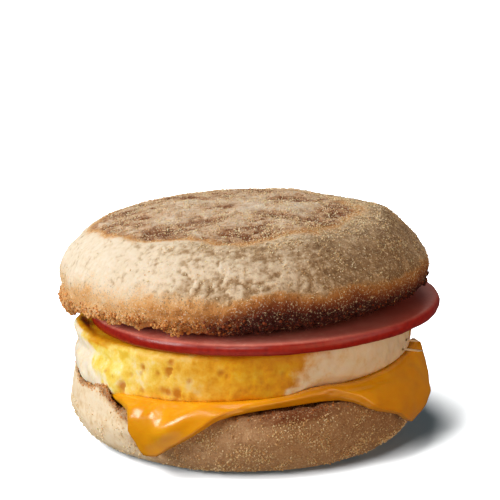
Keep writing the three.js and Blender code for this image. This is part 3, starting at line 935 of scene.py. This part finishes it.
# %% Cornmeal and crumbs on the crown
spots = leaning(read(crown), BACON_FLOOR + CROWN_FLOOR)
radius, angle, height = polar(spots)
clusters = ramp(lumps(spots, 5, 51, 2), -0.2, 0.7)
low = ramp(height, 11, 6)
sides = ramp(height, 19, 21) + 0.6 * low * (1 - 0.92 * hot) + 0.7 * rough_shaded_side * ramp(height, 6, 10) + 0.04
weight = (0.25 + clusters) * sides * ramp(radius, 3, 6) * np.where(height < 3, ramp(radius, 43, 44.5), 1)
crown_meal = spread("crown_cornmeal", one_grain, crown, 9900, weight, (0.2, 0.5), 0.3, 0.22, 52)
dress(crown_meal, cornmeal, "upper_muffin")

weight = ramp(height, 6.5, 3.0) * ramp(radius, 42.0, 44.5) * (0.3 + ramp(lumps(spots, 3, 53, 2), -0.3, 0.5))
crown_crumbs = spread("crown_crumbs", one_crumb, crown, 6000, weight, (0.25, 0.95), 0.35, 0.3, 54)
dress(crown_crumbs, crumb, "upper_muffin")

# %% Cornmeal and crumbs on the heel
spots = read(heel) / MM
radius, angle, height = polar(spots)
level = height / (1 + FACE_SLOPE * spots[:, 0])
clusters = ramp(lumps(spots, 6, 55, 2), -0.2, 0.7)
weight = (0.12 + clusters) * ramp(level, 1.0, 2.0) * ramp(level, 15.5, 14)
weight = weight * ramp(radius, 38, 41) * (0.25 + browner_shaded_side)
heel_meal = spread("heel_cornmeal", one_grain, heel, 8000, weight, (0.2, 0.62), 0.3, 0.22, 56)
dress(heel_meal, cornmeal, "lower_muffin")

weight = torn * (0.3 + near(angle, 216, 14)) * ramp(angle, 165, 185)
heel_crumbs = spread("heel_crumbs", one_crumb, heel, 1200, weight, (0.2, 0.55), 0.4, 0.3, 57)
dress(heel_crumbs, crumb, "lower_muffin")

bpy.data.objects.remove(one_grain)
bpy.data.objects.remove(one_crumb)

# %% [markdown]
# ## The table and the light
# The sandwich stands on a plain white surface. A big soft light low at the left, in front, models the
# crust, and the right side falls into warm shade. The white surface would send light up to the
# underside, and a weak light from below stands for that. The cheese has a key light of its own, set
# higher, so that its highlights lie on the fold at the top of the hanging corner. It also has a
# light overhead that nothing but the cheese shades, and a weak warm one from the right. The bacon
# has two weak lights of its own, from the front and from the right. The table has two suns of its
# own, so that it stays white to the horizon, and the shadow on it is short and soft.

# %% Table
bpy.ops.object.select_all(action="DESELECT")
bpy.ops.mesh.primitive_circle_add(vertices=96, radius=2.5, fill_type="NGON", location=(0, 0, 0))
table = bpy.context.object
table.name = "table"
table.visible_diffuse = False
table.visible_glossy = False
table.visible_shadow = False
white_top, tree, shader, place = new_finish("white_table_top", Roughness=0.9)
shader.inputs["Specular IOR Level"].default_value = 0
shader.inputs["Emission Color"].default_value = linear("#7fdfff")  # the sky light in the shadow
shader.inputs["Emission Strength"].default_value = 0.04
film = add(tree, "TexNoise", {"Vector": place, "Scale": 30, "Detail": 2})
colour = add(tree, "ValToRGB", {"Fac": film}, stops=[(0.3, "#bababa"), (0.7, "#bfbfbf")])
tree.links.new(colour, shader.inputs["Base Color"])
table.data.materials.append(white_top)
table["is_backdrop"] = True


# %% Lights
def light_from(name, kind, azimuth, elevation, distance, colour, receivers, blockers=(), **settings):
    """A light that looks at the middle of the stack and shines on some objects only.

    The azimuth is in degrees from +X. All objects shade it unless blockers are named.
    """
    turn, rise = math.radians(azimuth), math.radians(elevation)
    way = Vector((math.cos(turn) * math.cos(rise), math.sin(turn) * math.cos(rise), math.sin(rise)))
    bpy.ops.object.light_add(type=kind, location=TARGET + distance * way)
    light = bpy.context.object
    light.name = name
    light.rotation_euler = (-way).to_track_quat("-Z", "Y").to_euler()
    light.data.color = linear(colour)[:3]
    for setting, value in settings.items():
        setattr(light.data, setting, value)
    for use, objects in (("receiver", receivers), ("blocker", blockers)):
        if objects:
            group = bpy.data.collections.new(f"{name}_{use}s")
            for o in objects:
                group.objects.link(o)
            setattr(light.light_linking, use + "_collection", group)


food = list(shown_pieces())
all_but_cheese = [piece for piece in food if piece is not cheese]
light_from("key", "AREA", 202, 22, 0.7, "#fffdfb", all_but_cheese, size=0.32, energy=4.5)
light_from("cheese_key", "AREA", 206, 44, 0.7, "#fffdfb", [cheese], size=0.36, energy=5.7)
light_from("overhead", "AREA", 250, 65, 0.8, "#fff8ee", food, size=0.3, energy=0.7)
light_from("back", "AREA", 90, 50, 0.8, "#fff6ea", food, size=0.5, energy=2.8)
light_from("fill", "AREA", 305, 6, 0.7, "#f1c9a0", food, size=0.6, energy=2.3)
light_from("bounce", "AREA", 250, -45, 0.6, "#fff4e4", food, size=0.6, energy=0.85)
light_from("gloss", "AREA", 228, 84, 0.6, "#fffdf8", [cheese], [cheese], size=0.26, energy=0.9)
light_from("bacon_light", "AREA", 250, 20, 0.6, "#fff4e8", [bacon], size=0.2, energy=1.2)
light_from("bacon_fill", "AREA", 335, 22, 0.6, "#ffece0", [bacon], size=0.5, energy=1.1)
light_from("warm_side", "AREA", 312, 14, 0.6, "#ffe0b0", [cheese], size=0.3, energy=0.55)
light_from("table_sun", "SUN", 196, 63, 1.0, "#ffffff", [table], energy=18, angle=math.radians(54))
light_from("table_front", "SUN", 234, 32, 1.0, "#ffffff", [table], energy=7, angle=math.radians(25))

world = bpy.data.worlds.new("studio")
bpy.context.scene.world = world
world.use_nodes = True
world.node_tree.nodes["Background"].inputs["Color"].default_value = linear("#ffffff")
world.node_tree.nodes["Background"].inputs["Strength"].default_value = 0.08
bpy.context.scene.view_settings.view_transform = "Standard"

# %% [markdown]
# ## Size
# The size of the dressed model is compared with the size of the CAD model, and how much it grew
# along each axis is printed.

# %% Size
visual_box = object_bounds()
growth = [(v - c) / MM for v, c in zip(visual_box[1] - visual_box[0], cad_box[1] - cad_box[0])]
print("grown by", ", ".join(f"{g:.1f} mm" for g in growth))
